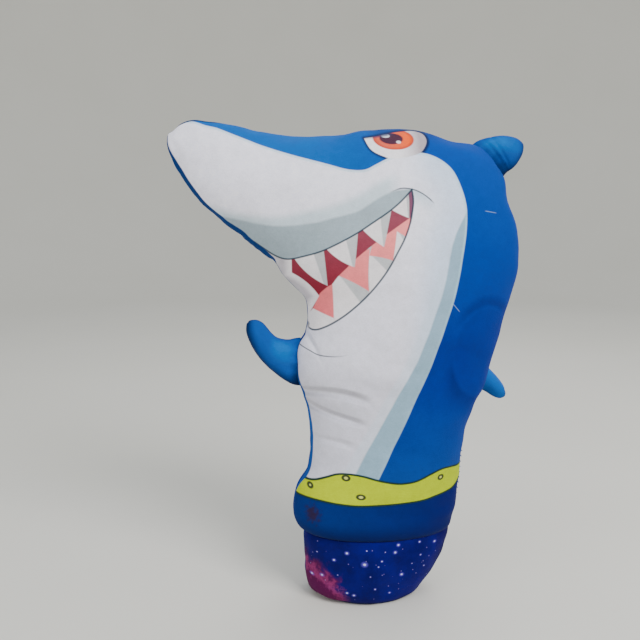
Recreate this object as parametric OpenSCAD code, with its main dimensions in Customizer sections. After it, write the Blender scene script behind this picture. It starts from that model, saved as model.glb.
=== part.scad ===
// Stuffed toy shark that stands upright on a weighted oval boot.
// Origin: centre of the flat face it rests on. +Z up, printed face towards -Y, snout towards -X.
// Every soft piece is a loft through ribs. A rib is a straight line across the toy, from its
// left edge to its right edge, and the loft bulges to each side of that line by the rib's depth.

/* [Overall] */
// Overall height of the toy
total_height = 420; // [380:1:460]
// Thickness of the plush fabric
fabric_thick = 1.5; // [1:0.1:2]
// Width of the seam allowance turned inside
seam_allowance = 5; // [4:0.5:6]

/* [Fins] */
// How far the right fin points back from the seam plane, degrees
right_fin_fold = 20; // [15:1:30]
// How far the right fin's root leans back with the body's surface, degrees
right_fin_lean = 35; // [30:1:38]
// How far the right fin is turned up in its own plane, degrees
right_fin_tilt = 20; // [15:1:25]
// Gap between a fin's root and the body
root_gap = 1.2; // [0.8:0.1:2]

/* [Boot] */
// Height of the seam between the boot and the body
waist_z = 60; // [57:1:64]
// Room left under the body for it to lean forwards and back, degrees
lean_room = 13; // [11:0.5:16]
// Height of the pellet bag
bag_height = 20; // [16:1:24]

/* [Quality] */
// Rings made between two neighbouring ribs
ring_steps = 2; // [1:1:3]
// Points along each half of a body ring
half_points = 11; // [7:2:15]

/* [Hidden] */

// The rib tables are drawn for a toy 420 mm high.
drawn_height = 420;
size = total_height / drawn_height;
air = 0.3;
stitch_d = 0.8;

// Ribs of the body, from the waist up over the crown and out to the tip of the snout:
// left x, left z, right x, right z, half of the depth.
BODY_RIBS = [
    [-65, waist_z + 1, 72, waist_z + 1, 38],
    [-70, 71, 73, 71, 40],
    [-72, 84, 76, 82, 41],
    [-69, 101, 79, 100, 41],
    [-60, 117, 80, 117, 40],
    [-57, 134, 82, 136, 39],
    [-57, 152, 85, 154, 39],
    [-59, 170, 91, 172, 40],
    [-64, 188, 99, 189, 41],
    [-69, 206, 105, 210, 42],
    [-68, 226, 111, 232, 43],
    [-61, 242, 117, 254, 44],
    [-59, 256, 123, 278, 45],
    [-61, 271, 127, 304, 46],
    [-71, 282, 124, 330, 46],
    [-80, 292, 116, 354, 46],
    [-87, 303, 110, 377, 44],
    [-94, 308, 92, 399, 42],
    [-102, 314, 64, 405, 40],
    [-110, 320, 30, 414, 38],
    [-118, 327, -6, 413, 35],
    [-128, 334, -38, 408, 33],
    [-137, 342, -70, 407, 30],
    [-147, 351, -98, 411, 26],
    [-155, 361, -122, 416, 21],
    [-163, 372, -141, 419, 16],
    [-170, 384, -154, 420, 11],
    [-174, 395, -163, 417, 6.5],
    [-175, 404, -169, 412, 2.6]
];
// Index of the rib where the head's stuffing takes over from the body's.
neck_rib = 11;

// Ribs of the boot, from the rest face up to the waist seam.
BOOT_RIBS = [
    [-48, fabric_thick + 0.1, 40, fabric_thick + 0.1, 33],
    [-56.5, 4, 44, 4, 35.5],
    [-60, 10, 48, 10, 37],
    [-62, 20, 55, 20, 38],
    [-62.5, 34, 62.5, 34, 39],
    [-63, waist_z - 0.5, 71, waist_z - 0.5, 37]
];

// Ribs of a side fin, from its root to its tip, drawn with the root along the local Z axis
// and the fin standing out along local X.
SIDE_FIN_RIBS = [
    [0, -21, 0, 21, 1.9],
    [6, -17, 4, 19.5, 8],
    [13, -12, 10, 20, 11],
    [21, -5, 15.5, 22, 11.5],
    [28.5, 3, 20, 26, 10.5],
    [34.5, 12, 23.5, 30.5, 8.5],
    [38.5, 20.5, 27, 34.5, 6.8],
    [40.5, 27, 31.5, 37, 4.8],
    [40.5, 32, 36, 37.2, 2.4]
];

// Ribs of the dorsal fin, from its root on the crown to its tip.
DORSAL_FIN_RIBS = [
    [92, 405.5, 115, 379, 1.9],
    [95.5, 407.5, 118.5, 380.5, 7],
    [101, 409, 122, 384, 9.5],
    [108, 410, 125, 388.5, 9.5],
    [115, 409.5, 127.5, 393.5, 8],
    [121, 408, 128.5, 399, 5.5],
    [125, 405.5, 128.5, 402, 2.4]
];

// Where the root of each side fin meets the body: the left one in the side seam, the right one
// on the back panel, a little in from its seam.
left_root = [-70 - root_gap, 0, 215];
right_root = [85 + 0.5 * root_gap, 26 + 0.8 * root_gap, 198.6];

// Catmull-Rom blend of four values, at t from 0 to 1 between b and c.
function blend4(a, b, c, d, t) =
    0.5 * (2 * b + (c - a) * t + (2 * a - 5 * b + 4 * c - d) * t * t
        + (3 * b - 3 * c + d - a) * t * t * t);

// A rib table with smooth ribs added between the drawn ones.
function smooth_ribs(ribs, steps = ring_steps) = [
    for (i = [0 : len(ribs) - 2], s = [0 : steps - 1])
        blend4(ribs[max(i - 1, 0)], ribs[i], ribs[i + 1], ribs[min(i + 2, len(ribs) - 1)], s / steps),
    ribs[len(ribs) - 1]
];

// How much of the leaning room a point at height z keeps: all at the waist, none 30 mm above it.
function room_share(z) = z < waist_z ? 0 : max(0, 1 - (z - waist_z) / 30);

// A point of a rib's ring, at an angle from its right edge (0) over the front to its left edge (180).
// inset draws the ring in from its two edges, and skin draws it in from the front and back faces.
function ring_point(rib, angle, side, inset, skin) =
    let (
        across = [rib[2] - rib[0], rib[3] - rib[1]],
        half = norm(across) / 2,
        middle = [rib[2] + rib[0], rib[3] + rib[1]] / 2,
        reach = max(half - inset, 0.3) * cos(angle),
        y = side * max(rib[4] - skin, 0.3) * sin(angle),
        flat = middle + across / norm(across) * reach
    ) size * [flat[0], y, flat[1] + abs(y) * tan(lean_room) * room_share(flat[1])];

function flip(list) = [for (i = [len(list) - 1 : -1 : 0]) list[i]];

// Half of a skin's ring: the outside of the fabric, then back along its inside.
function skin_ring(rib, side, n) = concat(
    [for (i = [0 : n]) ring_point(rib, 180 * i / n, side, 0, 0)],
    [for (i = [n : -1 : 0]) ring_point(rib, 180 * i / n, side, fabric_thick, fabric_thick)]
);

// A whole ring of stuffing, clear of the fabric and of the seam allowance at its edges. Just above
// the waist it is drawn in further, where the fabric folds as the body leans.
function fill_ring(rib, n, inset, skin) = let (inner = skin + 4 * room_share(rib[1])) concat(
    [for (i = [0 : n]) ring_point(rib, 180 * (i + 0.5) / (n + 1), -1, inset, inner)],
    [for (i = [n : -1 : 0]) ring_point(rib, 180 * (i + 0.5) / (n + 1), 1, inset, inner)]
);

// A closed solid through rings of the same number of points. Point i of a ring faces point
// m - 1 - i across it, so each end is closed by a ladder of triangles.
module loft(rings, reversed = false) {
    m = len(rings[0]);
    last = (len(rings) - 1) * m;
    walls = [for (r = [0 : len(rings) - 2], i = [0 : m - 1], k = [0, 1])
        let (a = r * m + i, b = r * m + (i + 1) % m)
        k == 0 ? [a, b, b + m] : [a, b + m, a + m]];
    first_cap = [for (i = [0 : m / 2 - 2], k = [0, 1])
        k == 0 ? [i, m - 2 - i, i + 1] : [i, m - 1 - i, m - 2 - i]];
    last_cap = [for (f = first_cap) [f[0] + last, f[2] + last, f[1] + last]];
    faces = concat(walls, first_cap, last_cap);
    polyhedron(
        points = [for (ring = rings) each ring],
        faces = reversed ? [for (f = faces) flip(f)] : faces
    );
}

// One fabric panel: side -1 is the front, side 1 the back.
module skin(ribs, side, n = half_points) {
    loft([for (rib = smooth_ribs(ribs)) skin_ring(rib, side, n)], reversed = side > 0);
}

// Stuffing between two panels, over the ribs from first to last.
module filling(ribs, first, last, n = half_points, inset = fabric_thick + seam_allowance + 2 * air) {
    all_ribs = smooth_ribs(ribs);
    loft([for (i = [first * ring_steps : last * ring_steps])
        fill_ring(all_ribs[i], n, inset, fabric_thick + air)]);
}

// The turned-in seam allowance along one edge: edge -1 is the left edge, 1 the right.
module edge_strip(ribs, edge) {
    function corner(rib, depth, y) =
        let (
            across = [rib[2] - rib[0], rib[3] - rib[1]] / 2,
            middle = [rib[2] + rib[0], rib[3] + rib[1]] / 2,
            reach = norm(across) - fabric_thick - air - depth,
            flat = middle + edge * across / norm(across) * reach
        ) size * [flat[0], y, flat[1]];
    half = 0.8;
    loft([for (rib = smooth_ribs(ribs))
        [corner(rib, 0, -half), corner(rib, seam_allowance, -half),
         corner(rib, seam_allowance, half), corner(rib, 0, half)]], reversed = edge > 0);
}

// Outline of the boot at one rib, drawn in by inset on all sides.
function oval(rib, inset, n = 48) = [
    for (i = [0 : n - 1]) let (angle = 360 * i / n)
        size * [(rib[0] + rib[2]) / 2 + ((rib[2] - rib[0]) / 2 - inset) * cos(angle),
                (rib[4] - inset) * sin(angle)]
];

// A flat ring of seam allowance inside the boot, its outer edge inset from the rib's outline.
module oval_strip(rib, z, thick) {
    inset = fabric_thick + 3 * air;
    translate([0, 0, z * size])
        linear_extrude(thick)
            difference() {
                polygon(oval(rib, inset));
                polygon(oval(rib, inset + seam_allowance));
            }
}

// Moves a side fin from where it is drawn to the left seam, or to the right side of the back,
// where it hangs down and out.
module place_left_fin() {
    translate(left_root * size)
        mirror([1, 0, 0])
            children();
}
module place_right_fin() {
    translate(right_root * size)
        rotate([-right_fin_lean, 0, 0])
            rotate([0, 0, right_fin_fold])
                rotate([0, -right_fin_tilt, 0])
                    mirror([0, 0, 1])
                        children();
}

// Stuffing of a fin, which starts a little way out from the pinched root.
module fin_filling(ribs) {
    filling(ribs, 1, len(ribs) - 2, n = 7, inset = fabric_thick + 2.6);
}

// The pinched seam along a fin's root, just inside the fin.
module fin_root_seam(ribs) {
    root = ribs[0];
    next = ribs[1];
    share = 0.25;
    mid = root * (1 - share) + next * share;
    loft([for (rib = [root * 0.9 + next * 0.1, mid])
        fill_ring([rib[0], rib[1], rib[2], rib[3], rib[4] - fabric_thick + 0.3], 3,
            fabric_thick + 3, 0.3)]);
}

// The oval panel under the boot, which is the face that the toy rests on.
module base_panel() {
    color("midnightblue")
        linear_extrude(fabric_thick * size)
            polygon(oval(BOOT_RIBS[0], 0));
}

// The printed front half of the boot.
module galaxy_front() {
    color("darkblue")
        skin(BOOT_RIBS, -1);
}

// The back half of the boot.
module galaxy_back() {
    color("royalblue")
        skin(BOOT_RIBS, 1);
}

// Stuffing above the pellet bag.
module base_fill() {
    top = waist_z - 0.5 - 3.5;
    low = BOOT_RIBS[3];
    color("whitesmoke")
        loft([for (z = [bag_height + 6 : (top - bag_height - 6) / 3 : top])
            fill_ring([low[0], z, low[2], z, low[4] - 3], half_points,
                fabric_thick + seam_allowance + 2 * air, fabric_thick + air)]);
}

// Outer shape of the pellet bag, a soft pillow lying on the base panel.
module bag_shape(inset) {
    low = 4 + inset;
    high = 4 + bag_height - inset;
    loft([for (i = [0 : 6]) let (
            rise = i / 6,
            z = low + (high - low) * rise,
            swell = 0.72 + 0.28 * sin(180 * rise)
        ) fill_ring([(-44 + inset) * swell, z, (44 - inset) * swell, z, (27 - inset) * swell],
            9, 0, 0)]);
}
module pellet_bag() {
    color("white")
        difference() {
            bag_shape(0);
            bag_shape(0.8);
        }
}
module pellets() {
    color("lightgrey")
        bag_shape(1.0);
}

// Seam allowances of the base panel and of the waist, turned in around the boot.
module base_seam() {
    color("navy")
        oval_strip(BOOT_RIBS[0], fabric_thick + 0.3, 1.4);
}
module waist_seam() {
    color("navy")
        oval_strip(BOOT_RIBS[len(BOOT_RIBS) - 1], waist_z - 3.2, 1.6);
}

// The printed front of the body and head, and its plain back.
module front_panel() {
    color("lightsteelblue")
        skin(BODY_RIBS, -1);
}
module back_panel() {
    color("dodgerblue")
        skin(BODY_RIBS, 1);
}

// Stuffing of the body, and the firmer stuffing of the head and snout.
module body_fill() {
    color("whitesmoke")
        filling(BODY_RIBS, 0, neck_rib - 0.5);
}
module head_fill() {
    color("snow")
        filling(BODY_RIBS, neck_rib, len(BODY_RIBS) - 3);
}

// The seam allowance around the whole outline, in two runs that meet at the snout's tip.
module outline_seam() {
    runs = [for (i = [0 : len(BODY_RIBS) - 4]) BODY_RIBS[i]];
    color("navy") {
        edge_strip(runs, -1);
        edge_strip(runs, 1);
    }
}

// Hand stitches that close the stuffing opening, low on the right side seam.
module closing_stitches() {
    count = 10;
    pitch = 5;
    reach = 2.2;
    right_edge = [for (rib = smooth_ribs(BODY_RIBS)) if (rib[3] < 160) [rib[3], rib[2]]];
    color("royalblue")
        for (i = [0 : count - 1])
            let (z = 84 + pitch * i, x = lookup(z, right_edge) + air)
                translate([x + stitch_d / 2, reach, z] * size)
                    rotate([90, 0, 0])
                        cylinder(d = stitch_d, h = 2 * reach * size, $fn = 16);
}

module left_fin_front() {
    color("deepskyblue")
        place_left_fin()
            skin(SIDE_FIN_RIBS, -1, 8);
}
module left_fin_back() {
    color("dodgerblue")
        place_left_fin()
            skin(SIDE_FIN_RIBS, 1, 8);
}
module left_fin_fill() {
    color("whitesmoke")
        place_left_fin()
            fin_filling(SIDE_FIN_RIBS);
}
module left_fin_seam() {
    color("navy")
        place_left_fin()
            fin_root_seam(SIDE_FIN_RIBS);
}

module right_fin_front() {
    color("deepskyblue")
        place_right_fin()
            skin(SIDE_FIN_RIBS, -1, 8);
}
module right_fin_back() {
    color("dodgerblue")
        place_right_fin()
            skin(SIDE_FIN_RIBS, 1, 8);
}
module right_fin_fill() {
    color("whitesmoke")
        place_right_fin()
            fin_filling(SIDE_FIN_RIBS);
}
module right_fin_seam() {
    color("navy")
        place_right_fin()
            fin_root_seam(SIDE_FIN_RIBS);
}

module dorsal_fin_front() {
    color("deepskyblue")
        skin(DORSAL_FIN_RIBS, -1, 8);
}
module dorsal_fin_back() {
    color("dodgerblue")
        skin(DORSAL_FIN_RIBS, 1, 8);
}
module dorsal_fin_fill() {
    color("whitesmoke")
        fin_filling(DORSAL_FIN_RIBS);
}
module dorsal_fin_seam() {
    color("navy")
        fin_root_seam(DORSAL_FIN_RIBS);
}

base_panel();
galaxy_front();
galaxy_back();
base_fill();
pellet_bag();
pellets();
base_seam();
waist_seam();
front_panel();
back_panel();
body_fill();
head_fill();
outline_seam();
closing_stitches();
left_fin_front();
left_fin_back();
left_fin_fill();
left_fin_seam();
right_fin_front();
right_fin_back();
right_fin_fill();
right_fin_seam();
dorsal_fin_front();
dorsal_fin_back();
dorsal_fin_fill();
dorsal_fin_seam();
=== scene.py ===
import math

import bmesh
import bpy
import numpy as np
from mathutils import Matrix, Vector


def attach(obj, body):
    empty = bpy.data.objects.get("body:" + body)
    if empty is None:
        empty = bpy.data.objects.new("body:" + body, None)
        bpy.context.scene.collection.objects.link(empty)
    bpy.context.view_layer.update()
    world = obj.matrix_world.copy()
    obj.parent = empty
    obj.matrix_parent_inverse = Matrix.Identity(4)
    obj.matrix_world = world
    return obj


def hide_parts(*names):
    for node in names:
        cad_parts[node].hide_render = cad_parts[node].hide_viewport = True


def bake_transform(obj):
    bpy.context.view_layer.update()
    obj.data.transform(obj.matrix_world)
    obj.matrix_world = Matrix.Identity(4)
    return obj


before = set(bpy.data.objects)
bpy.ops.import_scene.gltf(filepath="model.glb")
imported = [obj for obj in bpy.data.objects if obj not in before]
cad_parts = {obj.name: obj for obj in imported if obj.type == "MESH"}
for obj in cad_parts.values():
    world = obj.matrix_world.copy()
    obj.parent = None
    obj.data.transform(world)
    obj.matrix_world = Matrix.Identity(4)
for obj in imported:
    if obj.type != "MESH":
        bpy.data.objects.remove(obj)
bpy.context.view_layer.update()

SCENE = bpy.context.scene
MM = 0.001

# ==== Shapes. All are in millimetres in the frame of the CAD, whose ribs they repeat: left x,
# left z, right x, right z, half of the depth. ====
WAIST_Z, BEND_TOP_Z = 60.0, 92.0
CLOTH = 1.2
BODY_RIBS = [
    [-66, 60, 73, 60, 38.5], [-70, 71, 73, 71, 40], [-72, 84, 76, 82, 41], [-69, 101, 79, 100, 41],
    [-60, 117, 80, 117, 40], [-57, 134, 82, 136, 39], [-57, 152, 85, 154, 39],
    [-59, 170, 91, 172, 40], [-64, 188, 99, 189, 41], [-69, 206, 105, 210, 42],
    [-68, 226, 111, 232, 43], [-61, 242, 117, 254, 44], [-59, 256, 123, 278, 45],
    [-61, 271, 127, 304, 46], [-71, 282, 124, 330, 46], [-80, 292, 116, 354, 46],
    [-87, 303, 110, 377, 44], [-94, 308, 92, 399, 42], [-102, 314, 64, 405, 40],
    [-110, 320, 30, 414, 38], [-118, 327, -6, 413, 35], [-128, 334, -38, 408, 33],
    [-137, 342, -70, 407, 30], [-147, 351, -98, 411, 26], [-155, 361, -122, 416, 21],
    [-163, 372, -141, 419, 16], [-170, 384, -154, 420, 11], [-174, 395, -163, 417, 6.5],
    [-175, 404, -169, 412, 2.6], [-174.5, 407.5, -172.5, 410, 0.6],
]
BOOT_RIBS = [
    [-48, 1.6, 40, 1.6, 33], [-56.5, 4, 44, 4, 35.5], [-60, 10, 48, 10, 37],
    [-62, 20, 55, 20, 38], [-62.5, 34, 62.5, 34, 39], [-63, 48, 68.5, 48, 38],
    [-63.5, 60, 71.5, 60, 37],
]
SIDE_FIN_RIBS = [
    [-6, -21, -6, 21, 3], [0, -20, -1, 20.5, 5.5], [6, -17, 4, 19.5, 9], [13, -12, 10, 20, 11],
    [21, -5, 15.5, 22, 11.5], [28.5, 3, 20, 26, 10.5], [34.5, 12, 23.5, 30.5, 8.5],
    [38.5, 20.5, 27, 34.5, 6.8], [40.5, 27, 31.5, 37, 4.8], [40.5, 32, 36, 37.2, 2.4],
    [40, 34.5, 38.2, 36.5, 0.6],
]
DORSAL_FIN_RIBS = [
    [80, 399, 111, 373, 3], [85, 404, 115, 378, 5], [90.5, 406.8, 118.5, 380.5, 8],
    [98.5, 408.8, 122, 384, 9.5], [107.5, 410, 125, 388.5, 9.5], [115, 409.5, 127.5, 393.5, 8],
    [121, 408, 128.5, 399, 5.5], [125, 405.5, 128.5, 402, 2.4], [127, 404.5, 127.8, 403.5, 0.6],
]


def catmull(table, t):
    """Smooth blend of the rows of a table at the parameters t, through every row."""
    p = np.asarray(table, float)
    t = np.clip(np.asarray(t, float), 0, len(p) - 1)
    i = np.minimum(t.astype(int), len(p) - 2)
    f = (t - i)[:, None]
    a, b, c, d = (p[np.clip(i + k, 0, len(p) - 1)] for k in (-1, 0, 1, 2))
    return 0.5 * (2 * b + (c - a) * f + (2 * a - 5 * b + 4 * c - d) * f ** 2
                  + (3 * b - 3 * c + d - a) * f ** 3)


def moves_along(line):
    return np.hypot(*np.diff(line, axis=0).T)


def running(steps):
    """The running total of some steps, from 0."""
    return np.concatenate([[0], np.cumsum(steps)])


def spread(weight_length, count, parameter):
    """count + 1 values of parameter, evenly spread over the growing weight_length."""
    return np.interp(np.linspace(0, weight_length[-1], count + 1), weight_length, parameter)


# how much closer rows lie at a panel's tight end and columns at its seams, and how far in
ROW_CROWDING, ROW_REACH = 1.5, 9
COLUMN_CROWDING, COLUMN_REACH = 1.3, 5
SAMPLES_PER_RIB, SAMPLES_PER_RING = 60, 301
SMALLEST_RIB, SMALLEST_RING = 0.2, 0.1


def rows(table, step, tight_end=None):
    """Parameters of rows about step apart along a rib table, closer together at one end."""
    t = np.linspace(0, len(table) - 1, SAMPLES_PER_RIB * len(table))
    ribs = catmull(table, t)
    moves = np.maximum(moves_along(ribs[:, 0:2]), moves_along(ribs[:, 2:4]))
    length = running(moves)
    near = {None: 0 * length, 0: np.exp(-length / ROW_REACH),
            1: np.exp((length - length[-1]) / ROW_REACH)}
    weight = running(moves * (1 + ROW_CROWDING * near[tight_end][1:]))
    return spread(weight, int(weight[-1] / step), t)


def half_rings(table, t, side, columns):
    """The outside and inside of one panel, (rows, columns, 3) in mm, and its gaps: each point's
    distances along the cloth from the panel's right and left edges."""
    ribs = catmull(table, t)
    a = np.linspace(0, math.pi, SAMPLES_PER_RING)
    outside, inside, arcs = [], [], []
    for left_x, left_z, right_x, right_z, depth in ribs:
        middle = np.array([left_x + right_x, 0, left_z + right_z]) / 2
        across = np.array([right_x - left_x, 0, right_z - left_z]) / 2
        half = max(np.linalg.norm(across), SMALLEST_RIB)
        unit = across / half
        depth = max(depth, SMALLEST_RIB)
        steps = np.hypot(half * np.sin(a[1:]), depth * np.cos(a[1:])) * (a[1] - a[0])
        arc = running(steps)
        edge = np.exp(-arc / COLUMN_REACH) + np.exp((arc - arc[-1]) / COLUMN_REACH)
        angle = spread(running(steps * (1 + COLUMN_CROWDING * edge[1:])), columns, a)
        for rings, thin in ((outside, 0), (inside, CLOTH)):
            h, d = max(half - thin, SMALLEST_RING), max(depth - thin, SMALLEST_RING)
            ring = middle + unit * (h * np.cos(angle))[:, None]
            ring[:, 1] = side * d * np.sin(angle)
            ring[[0, -1], 1] = 0
            rings.append(ring)
        arc_at = np.interp(angle, a, arc)
        arcs.append((arc_at, arc[-1] - arc_at))
    return np.array(outside), np.array(inside), np.array(arcs).swapaxes(0, 1)


def normals(grid, side):
    """Outward directions of a panel's grid, level at its two edges."""
    n = np.cross(np.gradient(grid, axis=1), np.gradient(grid, axis=0)) * side
    n[:, [0, -1], 1] = 0
    return n / np.maximum(np.linalg.norm(n, axis=2, keepdims=True), 1e-9)


WAVES, WAVES_TOP = 9, 4.2


def lumps(points, size, seed):
    """Smooth unevenness from about -1 to 1, with bumps about size mm across."""
    draw = np.random.RandomState(seed)
    total = 0
    for _ in range(WAVES):
        direction = draw.normal(size=3)
        direction *= math.pi / (size * np.linalg.norm(direction) * draw.uniform(0.8, 1.6))
        total = total + np.sin(points @ direction + draw.uniform(0, 2 * math.pi))
    return total / WAVES_TOP


FOLD_SAMPLES, FOLD_END = 12, 0.15


def fold(x, z, points, width, fade):
    """A valley, 1 along a line of points, fading away from it, and to FOLD_END at its ends."""
    line = catmull(points, np.linspace(0, len(points) - 1, FOLD_SAMPLES * len(points)))
    run = running(moves_along(line))
    gap = np.hypot(x[..., None] - line[:, 0], z[..., None] - line[:, 1])
    nearest = gap.argmin(-1)
    along = run[nearest]
    ends = np.clip(np.minimum(along, run[-1] - along) / fade, 0, 1)
    return np.exp(-(gap.min(-1) / width) ** 2) * (FOLD_END + (1 - FOLD_END) * ends)


GROOVE_WIDTH = 1.7
# puckers beside a seam: their size, the size of the stretches where they are stronger, and
# where they start and how far they reach
PUCKER_SIZE, PUCKER_STRETCH, PUCKER_START, PUCKER_REACH = 5.5, 45, 1.5, 8
SEAMS_APART = 37.0


def seam_line(row_length, gaps, seed, groove=0.9, pucker=0.55):
    """Height of the cloth near the panel's two seams: a groove, and the puckers beside it."""
    height = 0
    for k, gap in enumerate(gaps):
        at = np.stack([row_length, 0 * row_length + SEAMS_APART * k, 0 * row_length], -1)
        wave = lumps(at, PUCKER_SIZE, seed + k)[:, None]
        swell = np.clip(lumps(at, PUCKER_STRETCH, seed + 10 + k), 0, 1)
        swell = (0.35 + 0.65 * swell)[:, None]
        height = height - groove * np.exp(-(gap / GROOVE_WIDTH) ** 2)
        height = height + (pucker * wave * swell * np.exp(-gap / PUCKER_REACH)
                           * (1 - np.exp(-gap / PUCKER_START)))
    return height


def length_of(table, t):
    """Distance of the ribs' middles from the first one, at the parameters t."""
    ribs = catmull(table, t)
    return running(moves_along((ribs[:, 0:2] + ribs[:, 2:4]) / 2))


# ==== Meshes ====
def add_object(name, data):
    made = bpy.data.objects.new(name, data)
    SCENE.collection.objects.link(made)
    return made


def panel(name, outside, inside, side, fields=None):
    """A sheet of cloth with thickness between two grids, with its own place at rest and any
    other fields kept on its points for the materials."""
    r, c = outside.shape[:2]
    points = np.concatenate([outside.reshape(-1, 3), inside.reshape(-1, 3)])
    at = np.arange(r * c).reshape(r, c)
    quads = [np.stack([at[:-1, :-1], at[:-1, 1:], at[1:, 1:], at[1:, :-1]], -1).reshape(-1, 4)]
    quads.append(quads[0][:, ::-1] + r * c)
    for edge, turn in ((at[0], 1), (at[-1], -1), (at[:, 0], -1), (at[:, -1], 1)):
        rim = np.stack([edge[1:], edge[:-1], edge[:-1] + r * c, edge[1:] + r * c], -1)
        quads.append(rim[:, ::turn])
    faces = np.concatenate(quads)
    if side < 0:
        faces = faces[:, ::-1]
    mesh = bpy.data.meshes.new(name)
    mesh.from_pydata((points * MM).tolist(), [], faces.tolist())
    mesh.polygons.foreach_set("use_smooth", [True] * len(mesh.polygons))
    rest = mesh.attributes.new("rest", "FLOAT_VECTOR", "POINT")
    rest.data.foreach_set("vector", points.astype(np.float32).ravel())
    for key, value in (fields or {}).items():
        one = mesh.attributes.new(key, "FLOAT", "POINT")
        both = np.concatenate([value.ravel(), value.ravel()])
        one.data.foreach_set("value", both.astype(np.float32))
    mesh.validate()
    return add_object(name, mesh)


# over the stuffing, which starts STUFFING_IN from the first rib, a valley deeper than FREE
# levels out, at most VALLEY deeper
STUFFING_IN, FREE, VALLEY = 12, 0.5, 0.7


def shape(table, t, side, columns, height, place=None, swollen=None):
    """A panel's outside and inside after height(points, row_length, gaps) and the stuffing's
    relief have moved them along the surface's own direction, and place has put them where they
    belong."""
    outside, inside, gaps = half_rings(table, t, side, columns)
    run = length_of(table, t)
    move = height(outside, run, gaps) + relief_at(swollen, side, t, columns)
    shallow = -FREE - VALLEY * np.tanh((-FREE - move) / VALLEY)
    move = np.where((move < -FREE) & (run > STUFFING_IN)[:, None], shallow, move)
    move = normals(outside, side) * move[..., None]
    outside, inside = outside + move, inside + move
    if place:
        outside, inside = place(outside), place(inside)
    return outside, inside, gaps


# ==== The printed picture, as outlines in mm on the front of the toy ====
AREAS = {
    "white": [
        (-260, 440), (-170, 421), (-152, 418), (-143, 415), (-133, 412.5), (-118, 406.5),
        (-99, 399), (-79, 392.5), (-63, 388), (-44, 383), (-31, 379.5), (-21, 378.5), (-14, 379.5),
        (-7, 383), (4, 388.5), (12, 391.5), (21, 393), (32, 393), (41, 391), (50, 386),
        (57.5, 379), (63, 369), (67, 357), (68.8, 345), (68.3, 330), (65.5, 310), (63, 292),
        (58, 270), (52, 250), (46, 231), (39, 210), (31, 192), (23, 173), (12, 148), (-1, 121),
        (-12, 100), (-30, 60), (-260, 60),
    ],
    "mouth": [
        (10, 390), (19, 374), (22, 362), (23, 354), (22, 345), (20, 336), (16, 325), (10, 313),
        (3.5, 300), (-6, 286), (-16, 274), (-28, 262.5), (-39, 254), (-47, 249), (-54, 246),
        (-59, 247), (-66, 254), (-130, 262), (-150, 390),
    ],
    "eye": [
        (-14, 405), (-11, 397), (-7, 393), (0.5, 389.5), (6, 388), (14, 388.5), (22, 390),
        (31, 393), (36, 398.5), (38, 403.5), (37, 407.8), (34, 410.4), (28, 411.7), (21, 411.3),
        (12, 410.0), (4, 408.4), (-4.5, 406.6),
    ],
}
LINES = {
    "lip": [
        (-115, 327), (-104, 320), (-96, 314.5), (-89, 310), (-82, 307), (-75, 306.5), (-65, 309),
        (-50, 314), (-34, 322), (-20, 330), (-9, 337.5), (4, 346.5), (13, 354), (21, 362.5),
        (30, 373),
    ],
    "pale": [
        (-180, 366), (-150, 353), (-131, 346), (-106, 341.5), (-85, 341), (-65, 345), (-42, 350),
        (-22, 358), (-5, 368), (12, 376),
    ],
    "shade": [
        (-180, 352), (-150, 345), (-117, 339), (-100, 335.5), (-85, 334), (-70, 335), (-55, 337),
        (-44, 340), (-22, 346), (-6, 356), (7, 362), (21, 364),
    ],
    "gum": [
        (-60, 258), (-55.5, 264), (-51, 277), (-45, 284), (-41.5, 286.5), (-37, 293), (-30, 300.5),
        (-22, 309), (-7, 321.5), (3, 329), (19, 340), (26, 344),
    ],
    "cheek": [
        (2, 359), (6.5, 362), (14, 364.3), (23, 363.3), (30, 360.5), (36, 356.5), (42, 351),
    ],
    "chin": [
        (-70, 233), (-66, 231.5), (-59, 228.5), (-52, 225.5), (-42, 225), (-33, 226), (-22, 229),
    ],
    "belt_top": [
        (-80, 112), (-62, 111.5), (-54, 113), (-45, 117), (-36, 121), (-26, 122), (-14, 121),
        (-3, 118.5), (14, 115), (24, 115), (32, 116.5), (45, 121), (58, 124), (73, 121), (85, 119),
    ],
    "belt_bottom": [
        (-80, 97), (-69, 97), (-53, 97), (-37, 96), (-14, 95.5), (8, 96), (32, 97), (52, 99),
        (65, 101), (73, 104), (85, 110),
    ],
}


def smooth_points(points, steps=8):
    return catmull(points, np.linspace(0, len(points) - 1, steps * (len(points) - 1) + 1))


def area_distance(x, z, points):
    """Distance in mm to a closed outline, below zero inside it."""
    line = smooth_points(points + [points[0]])
    a, b = line[:-1], line[1:]
    best, inside = np.full(x.shape, 1e9), np.zeros(x.shape, bool)
    for (ax, az), (bx, bz) in zip(a, b):
        dx, dz = bx - ax, bz - az
        t = np.clip(((x - ax) * dx + (z - az) * dz) / (dx * dx + dz * dz + 1e-12), 0, 1)
        best = np.minimum(best, np.hypot(x - ax - t * dx, z - az - t * dz))
        if az != bz:
            inside ^= ((az > z) != (bz > z)) & (x < ax + (z - az) / (bz - az) * dx)
    return np.where(inside, -best, best)


def line_distance(x, z, points):
    """Distance in mm above a line that runs from left to right, below zero under it."""
    line = smooth_points(points)
    slope = np.gradient(line[:, 1], line[:, 0])
    return (z - np.interp(x, line[:, 0], line[:, 1])) / np.hypot(
        1, np.interp(x, line[:, 0], slope))


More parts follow.
